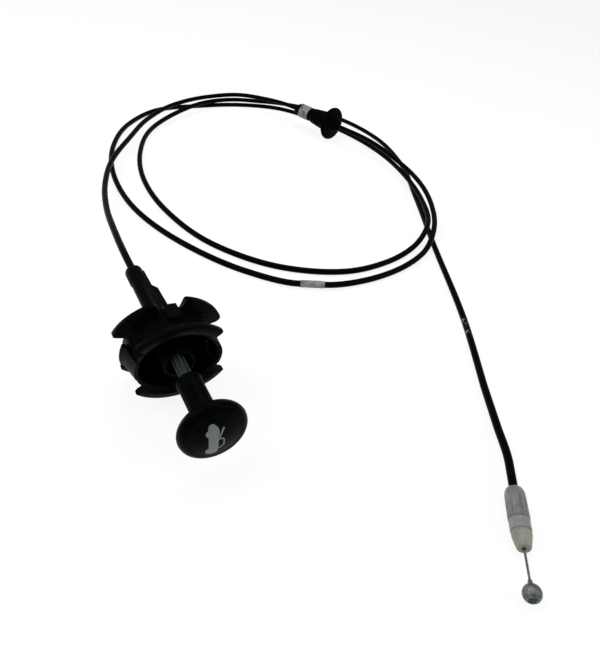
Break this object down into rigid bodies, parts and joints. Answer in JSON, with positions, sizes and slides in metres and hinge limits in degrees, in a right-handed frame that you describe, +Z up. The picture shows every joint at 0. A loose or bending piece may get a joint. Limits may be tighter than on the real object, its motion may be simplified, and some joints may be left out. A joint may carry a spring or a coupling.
{
  "type": "hood release cable",
  "caption": "Hood release cable: pull knob in a raked twist-lock housing, long black conduit laid in a flat coil, bulkhead grommet, and an end cap with a cast ball on the inner wire.",
  "frame": {"origin": "on the floor, under the middle of the housing and knob", "axes": "-Y is the way the knob is pulled, +Z is up, +X is to the right seen from behind the housing"},
  "size_m": [0.4115, 0.6916, 0.0632],
  "materials": {
    "black_nylon": "moulded, fine grain",
    "knob_black": "moulded, semi gloss",
    "grey_nylon": "moulded",
    "jacket_black": "extruded, smooth",
    "rubber_black": "moulded, matte",
    "tape_grey": "wound tape",
    "sticker_white": "bare sticker",
    "nylon_frosted": "frosted",
    "nylon_white": "moulded",
    "nylon_natural": "moulded, slightly yellow",
    "steel": "stranded or turned steel",
    "zinc_cast": "cast zinc, matte"
  },
  "bodies": {
    "cable": {"housing": "black_nylon", "conduit_bush": "steel", "conduit": "jacket_black", "conduit_end": "jacket_black", "grommet": "rubber_black", "grommet_tape": "tape_grey", "label_wrap": "sticker_white", "cap_sleeve": "nylon_frosted", "cap_ring": "nylon_white", "cap_tip": "nylon_natural"},
    "pull_knob": {"knob": "knob_black", "stem": "black_nylon", "pull_shaft": "grey_nylon", "wire_nipple": "zinc_cast", "knob_wire": "steel"},
    "end_wire": {"wire_end": "steel", "ball": "zinc_cast"}
  },
  "joints": [
    {"name": "knob_pull", "type": "slide", "parent": "cable", "child": "pull_knob", "axis": [0, -1, 0], "range_m": [-0.04, 0.012]},
    {"name": "wire_feed", "type": "slide", "parent": "cable", "child": "end_wire", "axis": [0.5793, 0.8151, 0], "range_m": [-0.04, 0.012]}
  ],
  "couplings": [
    {"joint": "wire_feed", "follows": "knob_pull", "ratio": 1}
  ]
}
